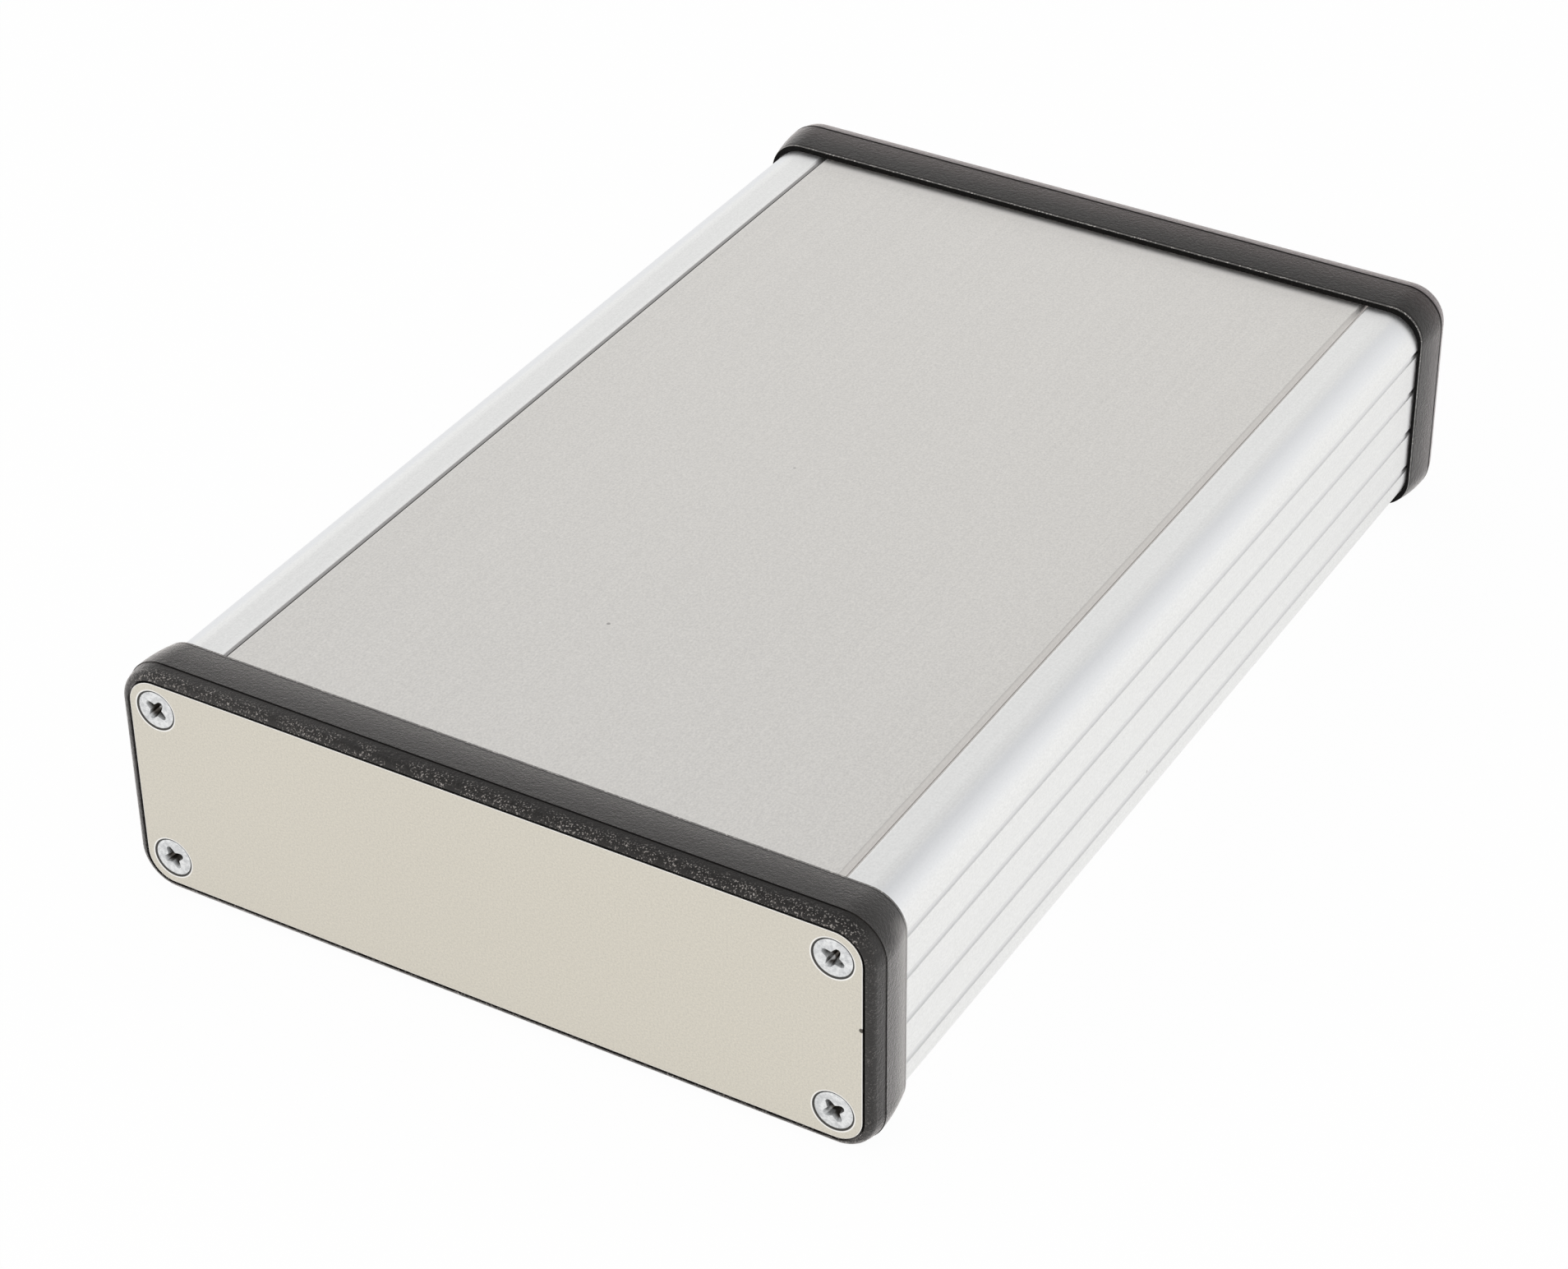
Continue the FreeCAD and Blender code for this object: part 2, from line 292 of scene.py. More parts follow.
# %% Lamps
def add_lamp(name, place, side, power, tint=(1.0, 1.0, 1.0)):
    """A square lamp that faces the case."""
    lamp = in_scene(name, bpy.data.lights.new(name, "AREA"))
    lamp.data.size = side
    lamp.data.energy = power
    lamp.data.color = tint
    lamp.location = place
    lamp.rotation_euler = Vector(place).to_track_quat("Z", "Y").to_euler()
    lamp.visible_glossy = False
    return lamp


lamps = [add_lamp("fill", (0.75, -1.1, 1.25), side=0.9, power=9.0),
         add_lamp("warm", (-0.55, -0.9, 0.60), side=0.5, power=2.2, tint=(1.0, 0.82, 0.66))]
print("lamps:", [(lamp.name, lamp.data.shape, round(lamp.data.energy, 2)) for lamp in lamps])

# %% [markdown]
# ## Floor
# The case lies on white paper that runs out to the white of the picture. More light
# would whiten the paper, but would wash out the case as well. So the camera and the
# reflections see the sheet mostly as plain white, and a small share of real paper keeps
# the shadow of the case. The Light Path node tells the rays apart. The sheet is stage,
# not a part of the case.

# %% Floor
FLOOR_REACH = 3.0
WHITE_TO_CAMERA = 0.96
WHITE_IN_REFLECTIONS = 0.70
floor_mesh = bpy.data.meshes.new("floor")
floor_mesh.from_pydata([(x * FLOOR_REACH, y * FLOOR_REACH, 0.0)
                        for x, y in ((-1, -1), (1, -1), (1, 1), (-1, 1))], [], [(0, 1, 2, 3)])
floor = in_scene("floor", floor_mesh)
sheet = Finish("floor")
seen = ((sheet.node("ShaderNodeLightPath", take="Is Camera Ray") * WHITE_TO_CAMERA)
        .most(sheet.node("ShaderNodeLightPath", take="Is Glossy Ray") * WHITE_IN_REFLECTIONS))
fibre = sheet.noise(sheet.here, 40.0, 3.0)
paper = sheet.principled({
    "Base Color": sheet.blend(fibre, (0.87, 0.87, 0.87), (0.89, 0.89, 0.89)), "Roughness": 0.9})
white = sheet.node("ShaderNodeEmission", {"Color": (1, 1, 1, 1), "Strength": 1.0})
floor_mesh.materials.append(sheet.finished(sheet.mixed(seen, paper, white)))
print("floor of", [round(v, 2) for v in floor.dimensions], "m")

# %% [markdown]
# ## Places on the case
# Painted light and shade sit at fixed places: along a seam, round a screw, at the end of a
# bezel. The finishes find such a place by its distance from the middle of the case, so one
# number serves left and right, and one serves front and rear.

# %% Places
MIDDLE_Z = 16.7       # half way up the case
TOP_Z = (30.6, 30.9)  # upper face, not at all below the first and fully above the second
SEAM_X = 43.22        # seam between the plate and a lip
SCREW_X = 47.0        # screws, out from the middle
SCREW_RISE = 11.25    # screws, above and below half way up
SKIRT_Y = 73.0        # where the skirt of a bezel ends on the body
CREASE_Y = 78.86      # crease between the skirt and the nose of a bezel
FACE_Y = 81.2         # outer face of a panel
print("screws at", SCREW_X, "mm out and",
      [round(MIDDLE_Z + side * SCREW_RISE, 2) for side in (-1, 1)], "mm up")

# %% [markdown]
# ## Metals
# The extrusion, the plate and the panels are anodised aluminium. The die leaves fine
# lines along the extrusion and rolling leaves them along the plate. The noise is drawn
# out along Y for the lines, and a finer, nearly even grain lies over it. The colour only
# moves by a few hundredths, as it does on the real metal. In the picture the right seam
# is lighter than the lamps here make it, so a faint glow stands for the light between its
# walls.

# %% Satin metal
SEAM_GLOW = (0.085, 0.080, 0.078)


def satin_metal(name, shade, roughness, lines_share, grain_share, painted_light_and_specks, seam_glow=0.0):
    metal = Finish(name)
    lines = metal.noise(metal.stretched(1.0, 0.004, 1.0), 2600.0, 3.0, 0.6)
    grain = metal.noise(metal.stretched(1.0, 0.7, 1.0), 3800.0, 4.0, 0.8)
    cloud = metal.noise(metal.stretched(1.0, 0.4, 1.0), 30.0, 3.0)
    tone = ((lines - 0.5) * lines_share + (grain - 0.5) * grain_share
            + (cloud - 0.5) * 0.1 + 0.5)
    darkest, palest = [tuple(c * share for c in shade) for share in (0.88, 1.12)]
    # painted highlights and shades, and a few real specks or nicks, go over the metal's tone
    colour = metal.layered(metal.blend(tone, darkest, palest), painted_light_and_specks(metal))
    seam = metal.band(metal.along("X"), SEAM_X, 0.14, 0.24) * metal.past(metal.along("Z"), *TOP_Z)
    return metal.finished(metal.principled({
        "Base Color": colour,
        "Emission Color": metal.blend(seam * seam_glow, (0, 0, 0), SEAM_GLOW),
        "Emission Strength": 1.0,
        "Metallic": 1.0,
        "Roughness": (grain - 0.5) * 0.10 + roughness,
        "Normal": metal.bump(lines + grain * 0.6, strength=0.12, distance=0.02 * MM)}))


print("satin metal glows by up to", max(SEAM_GLOW), "in its seam")

# %% [markdown]
# ### Body
# Painted shade darkens the flutes, and a cool painted reflection lies on the rounded top
# corners. A painted highlight makes the sides pale where they meet a bezel, and all of the
# metal next to the rear one is painted paler. Painted shade darkens the left seam, where no
# light falls in, and a painted highlight runs along the edge of each lip. These marks could
# be drawn into a picture, but they all follow the section of the body, so bands along the
# axes place them, and stay sharp from near and far.

# %% Body finish
body_specks = [((47.0, 5.4, 31.1), 0.25, (0.55, 0.54, 0.53), 0.6),
               ((51.4, -9.8, 8.7), 0.30, (0.45, 0.44, 0.43), 0.6)]


def body_painted_light_and_specks(metal):
    out = metal.out("X")
    up = metal.along("Z")
    top = metal.past(up, *TOP_Z)
    flute = metal.within(out, 51.34, 51.47) * metal.band(up, MIDDLE_Z, 10.6, 10.9)
    corner = metal.band(out, 49.3, 0.6, 1.9) * metal.past(up, 28.0, 29.5)
    at_bezel = metal.past(metal.out("Y"), 72.80, 72.86) * metal.past(out, 50.0, 51.0)
    left = metal.within(metal.along("X"), -1.0, 1.0)
    seam = metal.within(out, 43.48, 43.60)
    by_rear = metal.past(metal.along("Y"), 70.0, 72.6)
    seam_edge = metal.band(out, 43.86, 0.05, 0.10)
    # Painted shade in the flutes and the left seam, a cool painted reflection on the top corners,
    # painted highlights by the bezels, next to the rear bezel and on the lip edges, then the real
    # specks
    return [(flute * 0.75, (0.76, 0.76, 0.765)),
            (corner * 0.6, (0.80, 0.815, 0.845)),
            (at_bezel * 0.9, (1.0, 1.0, 1.0)),
            (top * seam * left * 0.6, (0.10, 0.09, 0.09)),
            (by_rear * 0.8, (1.0, 1.0, 1.0)),
            (top * seam_edge * 0.7, (1.0, 1.0, 0.99))] + metal.specks(body_specks)


body_finish = satin_metal("anodised_body", (0.893, 0.893, 0.882), roughness=0.42,
                          lines_share=0.3, grain_share=1.8, painted_light_and_specks=body_painted_light_and_specks, seam_glow=1.0)
print(body_finish.name, "has", len(body_finish.node_tree.nodes), "nodes")

# %% [markdown]
# ### Cover plate
# The plate is warmer than the body and has more grain. Painted shade makes its chamfers a
# little darker. The right one starts with a soft painted shadow line and the left one with
# a pale painted highlight line, and the metal next to the rear bezel is painted paler. Three
# specks lie on the plate, each a small ball of another shade round its place.

# %% Plate finish
plate_specks = [((-4.3, -1.8, 31.9), 0.25, (0.42, 0.41, 0.40), 0.6),
                ((-6.3, -43.5, 31.9), 0.30, (0.30, 0.29, 0.28), 0.7),
                ((-13.7, -47.4, 31.9), 0.20, (0.98, 0.98, 0.96), 0.5)]


def plate_painted_light_and_specks(metal):
    out = metal.out("X")
    right = metal.past(metal.along("X"), -1.0, 1.0)
    chamfer = metal.past(out, 42.66, 42.74)
    line = metal.band(out, 42.62, 0.06, 0.16)
    by_rear = metal.past(metal.along("Y"), 70.0, 72.6)
    # Painted shade on the chamfers and the right line, painted highlights on the left line and
    # next to the rear bezel, then the real specks
    return [(chamfer * 0.5, (0.60, 0.575, 0.55)),
            (line * right * 0.4, (0.42, 0.40, 0.38)),
            (line * (1 - right) * 0.5, (0.95, 0.94, 0.92)),
            (by_rear * 0.8, (1.0, 0.98, 0.95))] + metal.specks(plate_specks)


plate_finish = satin_metal("cover_plate", (0.764, 0.746, 0.716), roughness=0.43,
                           lines_share=0.4, grain_share=3.0, painted_light_and_specks=plate_painted_light_and_specks, seam_glow=1.0)
print(plate_finish.name, "has", len(plate_finish.node_tree.nodes), "nodes")

# %% [markdown]
# ### End panels
# The panels have a warm, sandy tint. A painted highlight lies on their bevels, round the
# rim and round each countersink, and a thin painted halo rings each countersink. Painted
# shade darkens the metal below the outer face, where it lies in a narrow dark gap, and
# under the rim of each screw. The distance from the nearest screw comes from folding the
# panel twice, so one sum serves all four. The right edge of the front panel has a dark
# nick and a pale one.

# %% Panel finish
panel_specks = [((50.7, -FACE_Y, 19.0), 0.38, (0.08, 0.07, 0.06), 0.95),
                ((50.9, -FACE_Y, 10.8), 0.20, (1.0, 1.0, 0.98), 0.8)]


def panel_painted_light_and_nicks(metal):
    depth = metal.out("Y")
    bevel = metal.within(depth, 81.19, 81.198)
    across = metal.out("X") - SCREW_X * MM
    up = (metal.along("Z") - MIDDLE_Z * MM).size() - SCREW_RISE * MM
    from_screw = (across * across + up * up).root()
    halo = metal.band(from_screw, 2.90, 0.04, 0.10)
    below = metal.within(depth, 81.02, 81.08).most(metal.within(from_screw, 2.76, 2.84))
    # Painted highlights on the bevels and round each countersink, painted shade below the face
    # and under each screw, then the real nicks
    return [(bevel, (1.0, 0.985, 0.95)),
            (halo * 0.8, (1.0, 0.99, 0.96)),
            (below * 0.95, (0.03, 0.028, 0.025))] + metal.specks(panel_specks)


panel_finish = satin_metal("end_panel", (0.709, 0.674, 0.592), roughness=0.40,
                           lines_share=0.2, grain_share=3.0, painted_light_and_specks=panel_painted_light_and_nicks)
print(panel_finish.name, "has", len(panel_finish.node_tree.nodes), "nodes")

# %% [markdown]
# ## Black plastic
# The bezel is moulded with a matt texture, and its fine pits break up the shine. Seen at
# a low angle that surface looks pale, which the sheen gives, and seen square on it is
# nearly black. Modelled pits would need millions of faces, so a bump stands for them.
# Painted glints show along the rounded nose, and a dotted painted highlight along the end
# of the skirt. A painted sheen makes the side of the skirt paler towards the body. The rear
# bezel is browner, with a pale painted sheen along the outer edge of its nose. First come
# the places and the painted glints that the colour and the shadows share.

# %% Places on a bezel
class BezelFinish(Finish):
    """A finish that knows where a point lies on its bezel."""

    def __init__(self, name):
        super().__init__(name)
        self.back = self.out("Y")
        self.rear = self.past(self.along("Y"), -1.0, 1.0)
        self.flank = self.past(self.out("X"), 49.5, 51.5)
        self.pits = self.noise(self.here, 2200.0, 4.0, 0.7)
        # Painted glints: specks where the grain of the mould catches the light
        self.glints = self.step(self.noise(self.here, 4200.0, 2.0, 0.6), 0.55, 0.66)
        self.patches = self.step(self.noise(self.here, 420.0, 2.0, 0.5), 0.30, 0.50)


print("skirt from", SKIRT_Y, "mm to the crease at", CREASE_Y, "mm, nose to", FACE_Y, "mm")


# %% Colour of the plastic
def plastic_colour(plastic):
    back, rear = plastic.back, plastic.rear
    nose = plastic.past(back, 79.3, 80.3)
    # Painted glints along the nose, fewer on the flanks
    lit = nose * plastic.glints * plastic.patches * (1 - plastic.flank * 0.75)
    # Painted highlight: a dotted bright line along the end of the skirt
    skirt_edge = plastic.band(back, SKIRT_Y + 0.14, 0.10, 0.15)
    side = plastic.past(plastic.out("X"), 51.0, 52.2)
    # Painted sheen: the side of the skirt gets paler towards the body
    sheen_towards_body = plastic.within(back, SKIRT_Y, 77.5)
    behind_crease = plastic.past(back, 74.5, 78.0)
    # Painted sheen: a pale strip along the outer edge of the rear bezel's nose
    rim = plastic.past(back, 78.82, 78.9)
    base = plastic.blend(plastic.pits, (0.003, 0.0025, 0.0022), (0.016, 0.013, 0.011))
    return plastic.layered(base, [
        (lit * 0.85, (0.32, 0.30, 0.285)),
        (skirt_edge * (plastic.glints * 0.8 + 0.12), (0.60, 0.58, 0.55)),
        (side * sheen_towards_body * (1 - rear) * 0.8, (0.20, 0.19, 0.18)),
        (rear * behind_crease, (0.020, 0.011, 0.010)),
        (rim * rear * 0.8, (0.16, 0.13, 0.135))])


print("the plastic's colour is its pits with five layers over them")

# %% [markdown]
# The crease and the end of the skirt lie in their own shadow. The steps of the solid are
# too shallow to throw it, so a dark matt shader is mixed in there. The crease runs out
# at the corners of the bezel, and the front bezel's nose gets a little dimmer from its
# left end to the middle.

# %% Shadows on the plastic
def plastic_shadow(plastic):
    back, rear, flank = plastic.back, plastic.rear, plastic.flank
    corner = (plastic.past(plastic.out("X"), 46.5, 49.0)
              * plastic.past((plastic.along("Z") - MIDDLE_Z * MM).size(), 10.5, 12.5))
    crease = plastic.band(back, CREASE_Y, 0.05, 0.10) * (1 - corner) * (1 - flank * 0.5) * 0.75
    behind = plastic.band(back, 78.60, 0.14, 0.24) * rear * 0.8
    inner = plastic.band(back, SKIRT_Y + 0.42, 0.06, 0.14) * 0.5
    skirt_end = plastic.within(back, SKIRT_Y + 0.005, SKIRT_Y + 0.02) * 0.9
    front = (plastic.past(back, 78.9, 79.1) * (1 - rear)
             * (1 - plastic.glints * plastic.patches))
    right = plastic.past(plastic.along("X"), -45.0, 0.0)
    dim = front * (right * (1 - flank * 0.7) * 0.26)
    return crease.most(behind).most(inner).most(skirt_end).most(dim)


print("the plastic's shadow is the strongest of five masks")


# %% Plastic finish
def black_plastic(name):
    plastic = BezelFinish(name)
    fine = plastic.noise(plastic.here, 6000.0, 2.0, 0.6)
    cloud = plastic.noise(plastic.here, 70.0, 2.0)
    surface = plastic.principled({
        "Base Color": plastic_colour(plastic),
        "Roughness": (cloud - 0.5) * 0.08 + (plastic.pits - 0.5) * 0.15 + 0.32,
        "IOR": 1.50,
        "Sheen Weight": 1.0,
        "Sheen Roughness": 0.28,
        "Sheen Tint": (1.0, 0.955, 0.935, 1.0),
        "Normal": plastic.bump(plastic.pits + fine * 0.4, strength=0.9, distance=0.12 * MM)})
    shadow = plastic.node("ShaderNodeBsdfDiffuse", {"Color": (0.004, 0.004, 0.004, 1.0)})
    return plastic.finished(plastic.mixed(plastic_shadow(plastic), surface, shadow))


plastic_finish = black_plastic("black_plastic")
print(plastic_finish.name, "has", len(plastic_finish.node_tree.nodes), "nodes")

# %% [markdown]
# ## Zinc
# The screws are bright zinc, mottled with light and dark streaks, so its colour and its
# roughness both follow a coarse noise. Painted shade darkens the recess and the seat of the
# head, the more so the deeper they are, with gaps in it from another noise.

# %% Zinc finish
def bright_zinc(name):
    zinc = Finish(name)
    mottle = zinc.noise(zinc.here, 1500.0, 4.0, 0.65)
    streak = zinc.noise(zinc.stretched(1.0, 1.0, 3.0), 2600.0, 2.0, 0.6)
    patches = zinc.step(mottle * 0.7 + streak * 0.3, 0.36, 0.64)
    deep = zinc.within(zinc.out("Y"), 80.35, 81.085)
    shade_gaps = zinc.step(zinc.noise(zinc.here, 900.0, 1.0), 0.50, 0.62)
    # Painted shade in the recess and under the head, with gaps from a noise
    colour = zinc.layered(zinc.blend(patches, (0.60, 0.61, 0.62), (0.90, 0.91, 0.91)), [
        (deep * (1 - shade_gaps * 0.6), (0.10, 0.09, 0.08))])
    return zinc.finished(zinc.principled({
        "Base Color": colour,
        "Metallic": 1.0,
        "Roughness": mottle * 0.25 + 0.22,
        "Normal": zinc.bump(mottle + streak * 0.5, strength=0.25, distance=0.04 * MM)}))


zinc_finish = bright_zinc("zinc_screw")
print(zinc_finish.name, "has", len(zinc_finish.node_tree.nodes), "nodes")

# %% [markdown]
# ## Finishes on the solids
# Each solid names a slot in the record, and the slot names its finish. Every solid gets
# its finish here. The pieces that are made below take theirs from the same table.

# %% Finishes on the solids
finishes = {"anodised_body": body_finish, "cover_plate": plate_finish,
            "end_panel": panel_finish, "black_plastic": plastic_finish,
            "zinc_screw": zinc_finish}
slots = {part["node"]: part["material_slot"] for part in frame["record"]["subparts"]}
for name, slot in slots.items():
    nodes[name].data.materials.clear()
    nodes[name].data.materials.append(finishes[slot])
print("slots:", slots)

# %% [markdown]
# ## Rounded edges
# A drawn edge is perfectly sharp, and a real one catches a thin line of light. The body
# and the cover plate are one section drawn out along Y, so their sections are read from
# the end faces of the solids, each sharp corner of the section is rounded by about
# 0.1 mm, and the section is drawn out again. That gives clean, even faces, which a bevel
# on the triangles of the solid would not.

# %% Section of a solid
TOUCH = 0.001 * MM  # points closer than this are one point


def merged_copy(node):
    """A copy of a solid's loose triangles, joined at their shared corners."""
    shape = bmesh.new()
    shape.from_mesh(node.data)
    bmesh.ops.remove_doubles(shape, verts=shape.verts, dist=TOUCH)
    return shape


def end_section(node):
    """The closed loops of (x, z) points round the end face nearest the front."""
    shape = merged_copy(node)
    front = min(v.co.y for v in shape.verts)
    others = [f for f in shape.faces if any(v.co.y > front + TOUCH for v in f.verts)]
    bmesh.ops.delete(shape, geom=others, context="FACES")
    following = {}
    for edge in shape.edges:
        if len(edge.link_faces) == 1:
            # The edge is walked the way its face goes round
            loop = edge.link_loops[0]
            following[loop.vert] = loop.link_loop_next.vert
    loops = []
    while following:
        corner = next(iter(following))
        walk = []
        while corner in following:
            walk.append((corner.co.x, corner.co.z))
            corner = following.pop(corner)
        loops.append(walk)
    shape.free()
    return loops


body_loops = end_section(nodes["case_body"])
print("the body's section has", len(body_loops), "loops with",
      sum(len(loop) for loop in body_loops), "corners")


# %% Eased corners
STRAIGHT = 0.002  # sine of a turn that still counts as straight
SHARP_CORNER = math.radians(32)
SHARE_OF_SIDE = 0.4  # a corner takes no more than this of a short side
BODY_EDGE = 0.12 * MM
PLATE_EDGE = 0.08 * MM


def eased(loop, radius, steps=3):
    """The loop with straight points left out and each sharp corner rounded."""
    points = [Vector(p) for p in loop]
    kept = []
    for i, here in enumerate(points):
        before, after = points[i - 1], points[(i + 1) % len(points)]
        if abs((here - before).normalized().cross((after - here).normalized())) > STRAIGHT:
            kept.append(here)
    rounded = []
    for i, here in enumerate(kept):
        before, after = kept[i - 1], kept[(i + 1) % len(kept)]
        into, out = (here - before), (after - here)
        turn = into.angle_signed(out)
        if abs(turn) < SHARP_CORNER:
            rounded.append(here)
            continue
        back = min(radius * math.tan(abs(turn) / 2),
                   into.length * SHARE_OF_SIDE, out.length * SHARE_OF_SIDE)
        first, last = here - into.normalized() * back, here + out.normalized() * back
        for step in range(steps + 1):
            # A parabola through the two ends, with the corner as its control point
            on = step / steps
            off = 1 - on
            rounded.append(first * off ** 2 + here * 2 * on * off + last * on ** 2)
    return rounded


print("and eased:", sum(len(eased(loop, BODY_EDGE)) for loop in body_loops), "corners")

# %% [markdown]
# ## From a shape to a piece
# Smooth shading blends the normals of faces that meet at a small angle, which turns a
# polygon into a curve. Next to a narrow bevel it would also bend the shade of a wide flat
# face, and show as a diagonal in it. Weighted normals let the wide faces keep theirs. A
# finished piece then takes the place of its solid: it wears the finish of the solid's slot,
# the solid is hidden, and the piece is set on the root body.

# %% Shading and handing over a piece
SHARP_EDGE = math.radians(34)
WIDE_FACES_WEIGH = 90  # of 100


def shade_by_angle(shape, sharp=SHARP_EDGE):
    for face in shape.faces:
        face.smooth = True
    for edge in shape.edges:
        edge.smooth = len(edge.link_faces) == 2 and edge.calc_face_angle() < sharp


def new_piece(name, shape, finish):
    mesh = bpy.data.meshes.new(name)
    shape.to_mesh(mesh)
    shape.free()
    mesh.materials.append(finish)
    return in_scene(name, mesh)


def result_of(piece):
    """The mesh of a piece once its modifiers have done their work."""
    depsgraph = bpy.context.evaluated_depsgraph_get()
    return bpy.data.meshes.new_from_object(piece.evaluated_get(depsgraph))


def settled(piece):
    """Wide flat faces keep their own normal, and the narrow ones beside them give way."""
    weigh = piece.modifiers.new("normals", "WEIGHTED_NORMAL")
    weigh.mode = "FACE_AREA"
    weigh.weight = WIDE_FACES_WEIGH
    weigh.keep_sharp = True
    mesh = result_of(piece)
    piece.modifiers.remove(weigh)
    piece.data = mesh
    return piece


def hand_over(piece, node_name):
    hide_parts(node_name)
    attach(piece, "root")
    print(piece.name, "has", len(piece.data.polygons), "faces and replaces", node_name)


print("an edge is sharp from", round(math.degrees(SHARP_EDGE)), "degrees on")

# %% [markdown]
# ## Body and cover plate
# The extrusion is a bar of one section, sawn to length, and the plate that slides into it
# is another. Each is made again as it is made in the works: its eased section is drawn
# out from end to end, and the two ends are filled.

# %% Body and cover plate
def drawn_out(name, node_name, radius):
    """The section of a solid, with eased corners, drawn out to the solid's length."""
    node = nodes[node_name]
    ends = [v.co.y for v in node.data.vertices]
    shape = bmesh.new()
    rims = []
    for loop in end_section(node):
        outline = eased(loop, radius)
        near = [shape.verts.new((p.x, min(ends), p.y)) for p in outline]
        far = [shape.verts.new((p.x, max(ends), p.y)) for p in outline]
        rims.append((near, far))
        for i in range(len(outline)):
            j = (i + 1) % len(outline)
            shape.faces.new((near[i], near[j], far[j], far[i]))
    for side in (0, 1):
        edges = [shape.edges.get((rim[side][i], rim[side][(i + 1) % len(rim[side])]))
                 for rim in rims for i in range(len(rim[side]))]
        bmesh.ops.triangle_fill(shape, edges=edges, use_beauty=True)
    bmesh.ops.recalc_face_normals(shape, faces=shape.faces)
    shade_by_angle(shape)
    hand_over(settled(new_piece(name, shape, finishes[slots[node_name]])), node_name)


drawn_out("extrusion", "case_body", BODY_EDGE)
drawn_out("sliding_cover", "cover_plate", PLATE_EDGE)

# %% [markdown]
# ## End panels
# Each panel is a flat plate with rounded corners and four countersunk holes. It could be
# drawn anew, but a copy of the solid keeps the holes where they are. The copy is merged
# and its flat faces are joined, and the edges on its outer face get a small bevel: that
# is the bright line round the panel and round each screw.

# %% End panels
PANEL_BEVEL = 0.12 * MM
FLAT = math.radians(0.5)  # faces that meet at less are joined


def bevelled(name, node_name):
    """A copy of a panel with a bevel on every sharp edge of its outer face."""
    shape = merged_copy(nodes[node_name])
    bmesh.ops.dissolve_limit(shape, angle_limit=FLAT, verts=shape.verts, edges=shape.edges)
    face = max((v.co.y for v in shape.verts), key=abs)
    edges = [e for e in shape.edges
             if len(e.link_faces) == 2 and e.calc_face_angle() > SHARP_CORNER
             and all(abs(v.co.y - face) < TOUCH for v in e.verts)]
    bmesh.ops.bevel(shape, geom=edges, offset=PANEL_BEVEL, offset_type="OFFSET", segments=2,
                    profile=0.5, affect="EDGES", clamp_overlap=False)
    shade_by_angle(shape)
    hand_over(settled(new_piece(name, shape, finishes[slots[node_name]])), node_name)


bevelled("front_end_panel", "front_panel")
bevelled("rear_end_panel", "rear_panel")

# %% [markdown]
# ## One screw
# Four screws of one kind hold each panel. The head and the shank are a profile spun about
# Y. The recess is a cross with round-ended wings that narrow towards the bottom, so it is
# lofted through five outlines and cut out with a Boolean modifier. The screw points along
# Y with the top of its head at the origin, so it can be set by its head.

# %% Head and shank
HEAD_RADIUS = 2.58
SHANK_RADIUS = 1.45
# The profile as (radius, depth) in millimetres, from the middle of the head to the tip
screw_profile = [(0, 0.03), (1.2, 0.02), (2.3, 0.0), (2.46, 0.012), (2.54, 0.05),
                 (HEAD_RADIUS, 0.12), (SHANK_RADIUS, 1.25), (SHANK_RADIUS, 9.45),
                 (1.40, 9.5), (0, 9.5)]


def profile_spun(places, segments=72):
    """A closed solid from (radius, y) places, spun about the Y axis."""
    shape = bmesh.new()
    rings = []
    for radius, y in places:
        if radius == 0:
            rings.append([shape.verts.new((0, y * MM, 0))])
            continue
        turns = [2 * math.pi * i / segments for i in range(segments)]
        rings.append([shape.verts.new((radius * MM * math.cos(a), y * MM,
                                       radius * MM * math.sin(a))) for a in turns])
    for first, second in zip(rings, rings[1:]):
        for i in range(segments):
            j = (i + 1) % segments
            corners = [first[i % len(first)], first[j % len(first)],
                       second[j % len(second)], second[i % len(second)]]
            shape.faces.new(list(dict.fromkeys(corners)))
    bmesh.ops.recalc_face_normals(shape, faces=shape.faces)
    return shape


blank = new_piece("screw_blank", profile_spun(screw_profile), zinc_finish)
print("screw before the recess:", len(blank.data.polygons), "faces")

# %% Cross
# Outlines of the recess as (depth, reach, half width, core), from above the head down
cross_levels = [(-0.3, 1.78, 0.52, 0.68), (0.0, 1.64, 0.45, 0.60), (0.7, 1.26, 0.34, 0.44),
                (1.4, 0.86, 0.24, 0.32), (1.8, 0.30, 0.12, 0.16)]


def cross_cutter(levels, steps=4):
    """A cross with four round-ended wings, lofted through its outlines."""
    shape = bmesh.new()
    rings = []
    for depth, reach, half, core in levels:
        # From the hollow between two wings, out along one side and round its end
        outline = [(core, -core)]
        outline += [(reach - half + half * math.cos(a), half * math.sin(a))
                    for a in [math.pi * (s / steps - 0.5) for s in range(steps + 1)]]
        spins = [Matrix.Rotation(-math.pi / 2 * wing, 3, "Y") for wing in range(4)]
        rings.append([shape.verts.new(spin @ Vector((x * MM, depth * MM, z * MM)))
                      for spin in spins for x, z in outline])
    for first, second in zip(rings, rings[1:]):
        for i in range(len(first)):
            j = (i + 1) % len(first)
            shape.faces.new((first[i], first[j], second[j], second[i]))
    shape.faces.new(rings[0])
    shape.faces.new(rings[-1])
    bmesh.ops.recalc_face_normals(shape, faces=shape.faces)
    return shape


cutter = new_piece("cross", cross_cutter(cross_levels), zinc_finish)
print("cross:", len(cutter.data.polygons), "faces")

# %% Cut screw
SCREW_SHARP_EDGE = math.radians(30)
cut = blank.modifiers.new("cross", "BOOLEAN")
cut.operation = "DIFFERENCE"
cut.solver = "EXACT"
cut.object = cutter
shape = bmesh.new()
shape.from_mesh(result_of(blank))
shade_by_angle(shape, SCREW_SHARP_EDGE)
one_screw = new_piece("one_screw", shape, zinc_finish)
bpy.data.objects.remove(blank)
bpy.data.objects.remove(cutter)
print("one screw:", len(one_screw.data.polygons), "faces")

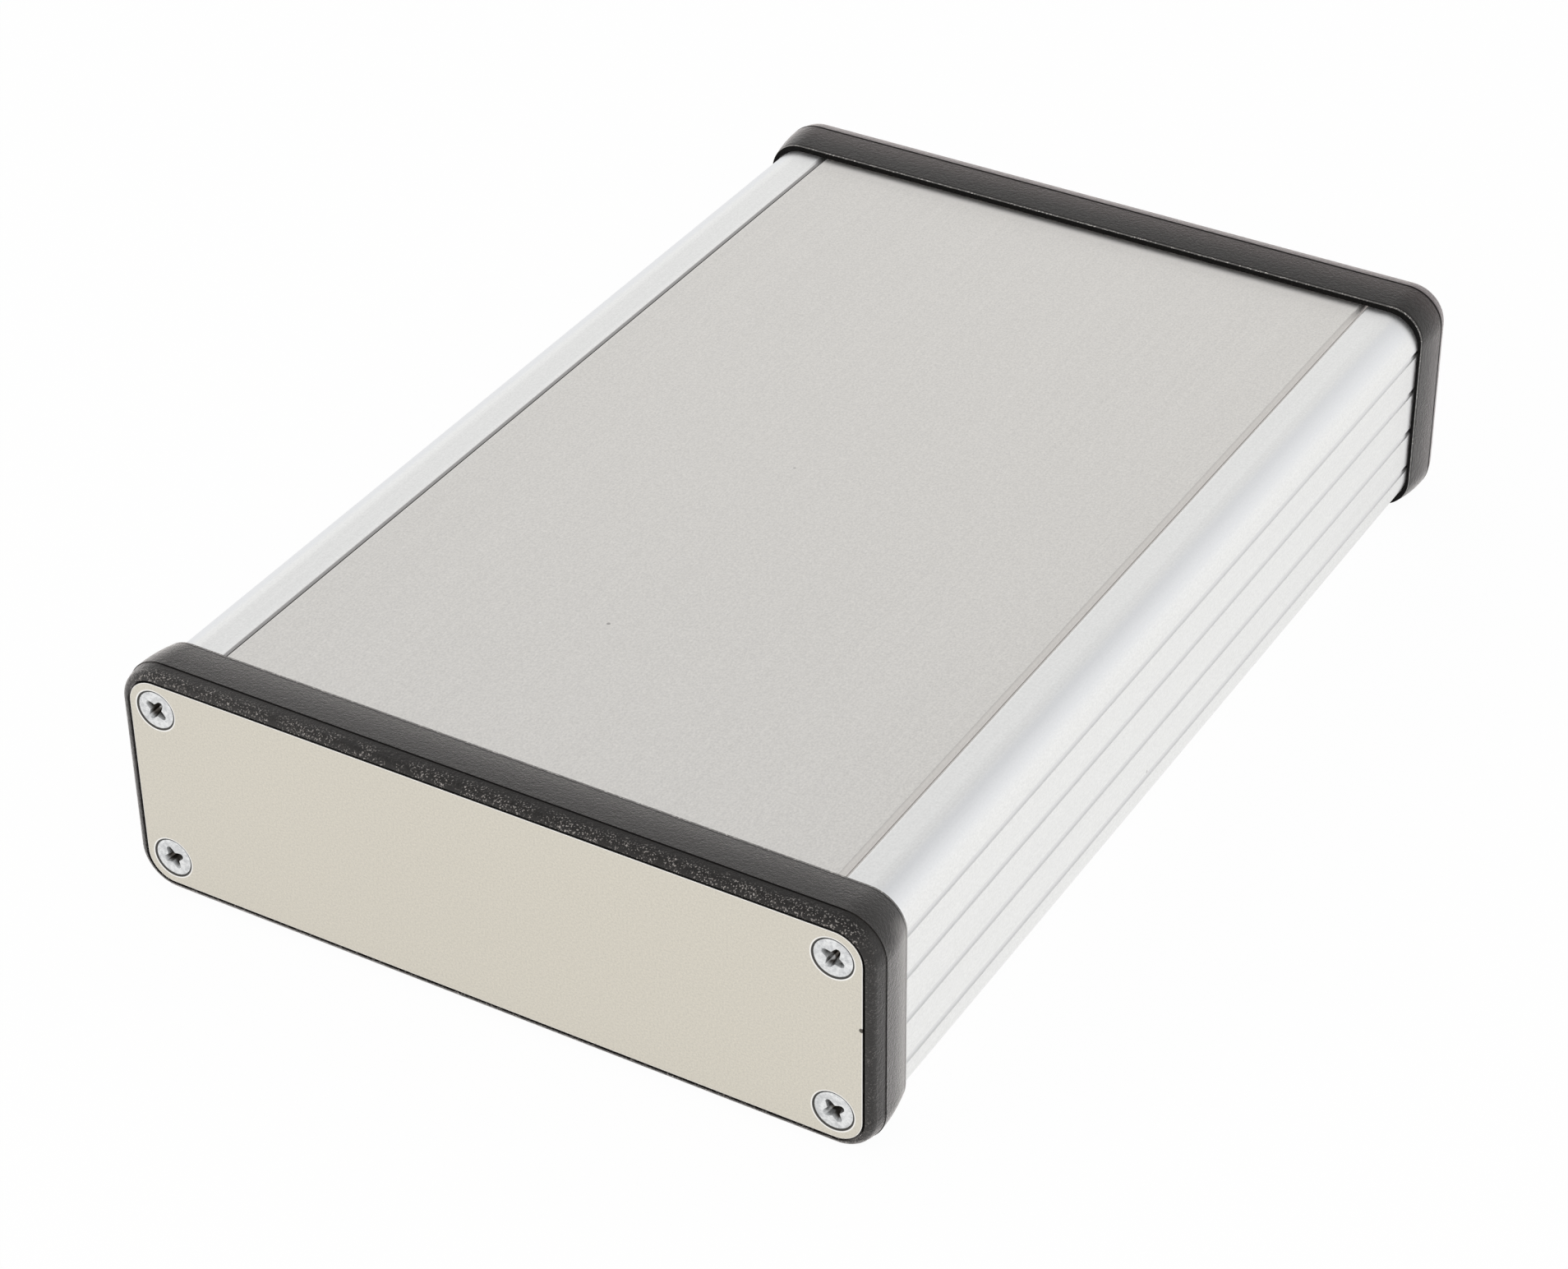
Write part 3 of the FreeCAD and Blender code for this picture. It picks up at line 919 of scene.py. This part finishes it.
# %% [markdown]
# ## Four screws at each end
# A Geometry Nodes tree sets the screw at the four corners of a 2 by 2 grid and turns each
# by its own angle, since no two are driven home alike. Copies set by hand would do the
# same, but the tree has its sizes as named inputs and serves both ends. At the rear it
# gives the whole set a half turn. The grid counts up each column, from left to right.

# %% Tree that sets four screws
def screw_tree():
    tree = bpy.data.node_groups.new("four screws", "GeometryNodeTree")
    tree.interface.new_socket("Geometry", in_out="OUTPUT", socket_type="NodeSocketGeometry")
    kinds = {"Screw": "Object", "Across": "Float", "Up": "Float", "Place": "Vector",
             "Half turn": "Vector", "Upper left": "Float", "Upper right": "Float",
             "Lower left": "Float", "Lower right": "Float", "Finish": "Material"}
    sockets = {name: tree.interface.new_socket(
        name, in_out="INPUT", socket_type="NodeSocket" + kind).identifier
        for name, kind in kinds.items()}
    recipe = Recipe(tree)
    value = {name: recipe.node("NodeGroupInput", take=name) for name in kinds}
    grid = recipe.node("GeometryNodeMeshGrid", {
        "Size X": value["Across"], "Size Y": value["Up"], "Vertices X": 2, "Vertices Y": 2})
    upright = recipe.node("GeometryNodeTransform", {
        "Geometry": grid, "Rotation": (math.pi / 2, 0, 0), "Translation": value["Place"]})
    turn = recipe.node("GeometryNodeIndexSwitch", {
        "Index": recipe.node("GeometryNodeInputIndex"), "0": value["Lower left"],
        "1": value["Upper left"], "2": value["Lower right"], "3": value["Upper right"]},
        data_type="FLOAT", items=4)
    turned = recipe.node("FunctionNodeEulerToRotation", {
        "Euler": recipe.node("ShaderNodeCombineXYZ", {"Y": turn})})
    screw = recipe.node("GeometryNodeObjectInfo", {"Object": value["Screw"]}, "Geometry")
    placed = recipe.node("GeometryNodeInstanceOnPoints", {
        "Points": upright, "Instance": screw, "Rotation": turned})
    facing = recipe.node("GeometryNodeTransform", {
        "Geometry": placed, "Rotation": value["Half turn"]})
    real = recipe.node("GeometryNodeRealizeInstances", {"Geometry": facing})
    coated = recipe.node("GeometryNodeSetMaterial", {
        "Geometry": real, "Material": value["Finish"]})
    recipe.node("NodeGroupOutput", {"Geometry": coated})
    return tree, sockets


tree, sockets = screw_tree()
print("tree:", tree.name, "with inputs", list(sockets))


# %% Screws at both ends
def set_screws(name, node_name, turns, half_turn):
    """Four screws where the solid's are. Left and right are as seen from outside."""
    low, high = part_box(node_name)
    holder = in_scene(name + "_maker", bpy.data.meshes.new(name + "_maker"))
    maker = holder.modifiers.new("four screws", "NODES")
    maker.node_group = tree
    given = {"Screw": one_screw,
             "Across": high[0] - low[0] - 2 * HEAD_RADIUS * MM,
             "Up": high[2] - low[2] - 2 * HEAD_RADIUS * MM,
             "Place": (0.0, -max(abs(low[1]), abs(high[1])), (low[2] + high[2]) / 2),
             "Half turn": (0.0, 0.0, half_turn),
             "Finish": zinc_finish}
    given.update({corner: math.radians(turn) for corner, turn in turns.items()})
    for title, value in given.items():
        maker[sockets[title]] = value
    mesh = result_of(holder)
    holder.modifiers.remove(maker)
    bpy.data.objects.remove(holder)
    mesh.name = name
    hand_over(in_scene(name, mesh), node_name)


set_screws("front_screw_set", "front_screws", {
    "Upper left": 35, "Upper right": 28, "Lower left": 64, "Lower right": 57}, 0.0)
set_screws("rear_screw_set", "rear_screws", {
    "Upper left": -27, "Upper right": -71, "Lower left": -4, "Lower right": -52}, math.pi)
bpy.data.objects.remove(one_screw)
